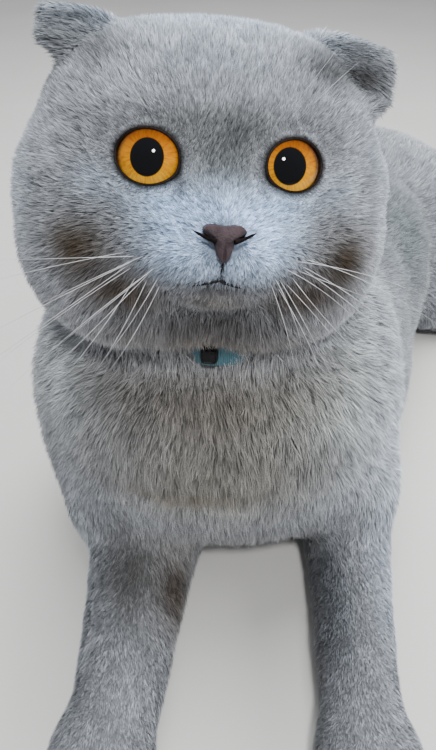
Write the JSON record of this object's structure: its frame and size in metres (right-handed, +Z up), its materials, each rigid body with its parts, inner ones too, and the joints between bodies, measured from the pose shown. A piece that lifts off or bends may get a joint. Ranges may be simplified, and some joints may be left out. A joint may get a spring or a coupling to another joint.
{
  "type": "scottish fold cat",
  "caption": "Life-size still model of a folded-ear short-haired grey cat with amber eyes and a collar, lying on its chest with the forelegs laid forward.",
  "frame": {"origin": "centre of the bottom of the bounding box, on the floor the cat lies on", "axes": "+Z up; -Y the way the chest and forelegs face; +X the cat's left side"},
  "size_m": [0.3542, 0.5114, 0.2335],
  "materials": {
    "coat": "dense short plush fur",
    "eye": "wet amber eye with a dark pupil",
    "nose_leather": "finely grained, dull",
    "collar_band": "woven",
    "buckle": "satin"
  },
  "bodies": {
    "root": {"head": "coat", "ear_left": "coat", "ear_right": "coat", "eye_left": "eye", "eye_right": "eye", "nose": "nose_leather", "neck": "coat", "collar": "collar_band", "collar_buckle": "buckle", "chest": "coat", "hindquarters": "coat", "upper_foreleg_left": "coat", "upper_foreleg_right": "coat", "forearm_left": "coat", "forearm_right": "coat", "forepaw_left": "coat", "forepaw_right": "coat", "thigh_left": "coat", "thigh_right": "coat", "hind_foot_left": "coat", "hind_foot_right": "coat", "tail_base": "coat", "tail_middle": "coat", "tail_tip": "coat"}
  },
  "joints": []
}
